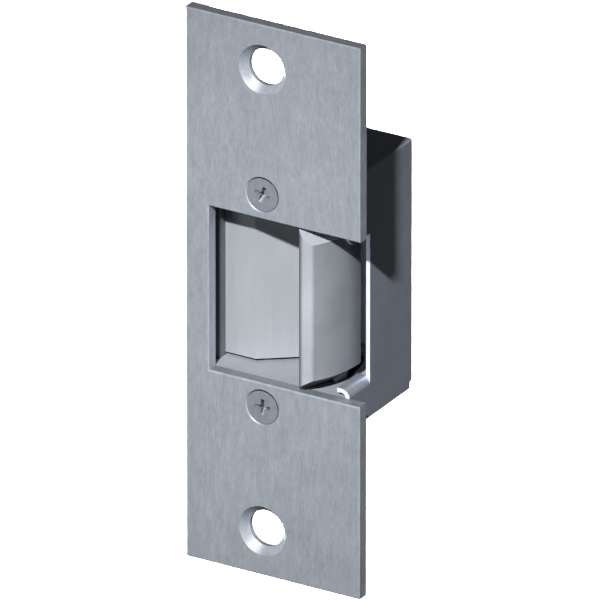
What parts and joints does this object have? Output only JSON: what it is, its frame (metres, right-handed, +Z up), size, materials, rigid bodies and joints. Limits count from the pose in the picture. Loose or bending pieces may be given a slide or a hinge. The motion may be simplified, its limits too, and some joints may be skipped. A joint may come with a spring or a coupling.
{
  "type": "electric door strike",
  "caption": "Electric door strike with a flat brushed faceplate, C-shaped latch opening, swinging curved keeper and a solenoid lock in a sheet steel box behind the plate.",
  "frame": {"origin": "midway between the two mounting holes, on the back face of the faceplate, where it meets the door frame", "axes": "+X to the open side, where the latch swings out; +Y into the door frame, away from the door's edge; +Z up the faceplate"},
  "size_m": [0.036, 0.0253, 0.108],
  "materials": {
    "faceplate_steel": "vertical brushed grain",
    "screw_steel": "plain machined",
    "case_steel": "zinc plated sheet, satin",
    "keeper_steel": "satin cast steel",
    "liner_steel": "bright rolled sheet",
    "cast_alloy": "die cast, satin",
    "spring_steel": "drawn wire",
    "core_steel": "turned, nickel plated",
    "brass": "turned",
    "copper_wire": null,
    "black_rubber": "matt",
    "grey_felt": "felt",
    "white_nylon": "moulded",
    "black_plastic": "moulded",
    "yellow_tape": "polyester tape"
  },
  "bodies": {
    "strike": {"faceplate": "faceplate_steel", "faceplate_screws": "screw_steel", "case": "case_steel", "rear_cover": "case_steel", "housing": "cast_alloy", "cavity_liner": "liner_steel", "liner_screws": "screw_steel", "pivot_pin_upper": "core_steel", "pivot_pin_lower": "core_steel", "pivot_clips": "spring_steel", "keeper_spring": "spring_steel", "stop_bumpers": "black_rubber", "lever_bracket": "case_steel", "lever_pin": "core_steel", "lever_spring": "spring_steel", "solenoid_frame": "case_steel", "coil_bobbin": "white_nylon", "coil_winding": "copper_wire", "coil_tape": "yellow_tape", "pole_piece": "core_steel", "plunger_spring": "spring_steel", "plunger_pad": "grey_felt", "solenoid_screws": "screw_steel", "rear_cover_screws": "screw_steel", "terminal_block": "black_plastic", "terminal_screws": "brass", "wire_grommet": "black_rubber"},
    "keeper": {"keeper_jaw": "keeper_steel", "keeper_arm_upper": "case_steel", "keeper_arm_lower": "case_steel", "keeper_screws": "screw_steel"},
    "lever": {"lock_lever": "core_steel"},
    "plunger": {"plunger": "core_steel", "push_pin": "brass"}
  },
  "joints": [
    {"name": "keeper_turn", "type": "hinge", "parent": "strike", "child": "keeper", "pos_m": [-0.00528, 0.0084, 0], "axis": [0, 0, 1], "range_deg": [0, 36], "stiffness_Nm_per_rad": 0.02, "springref_deg": -34.38, "deforming": ["keeper_spring"]},
    {"name": "plunger_lift", "type": "slide", "parent": "strike", "child": "plunger", "axis": [0, 0, 1], "range_m": [0, 0.00158], "stiffness_N_per_m": 60, "springref_m": -0.004, "deforming": ["plunger_spring"]},
    {"name": "lever_tilt", "type": "hinge", "parent": "strike", "child": "lever", "pos_m": [0.00032, 0.0132, 0.0217], "axis": [0, 1, 0], "range_deg": [0, 14.5], "stiffness_Nm_per_rad": 0.0004, "springref_deg": -45.84, "deforming": ["lever_spring"]}
  ],
  "couplings": [
    {"joint": "lever_tilt", "follows": "plunger_lift", "rad_per_m": 160}
  ]
}
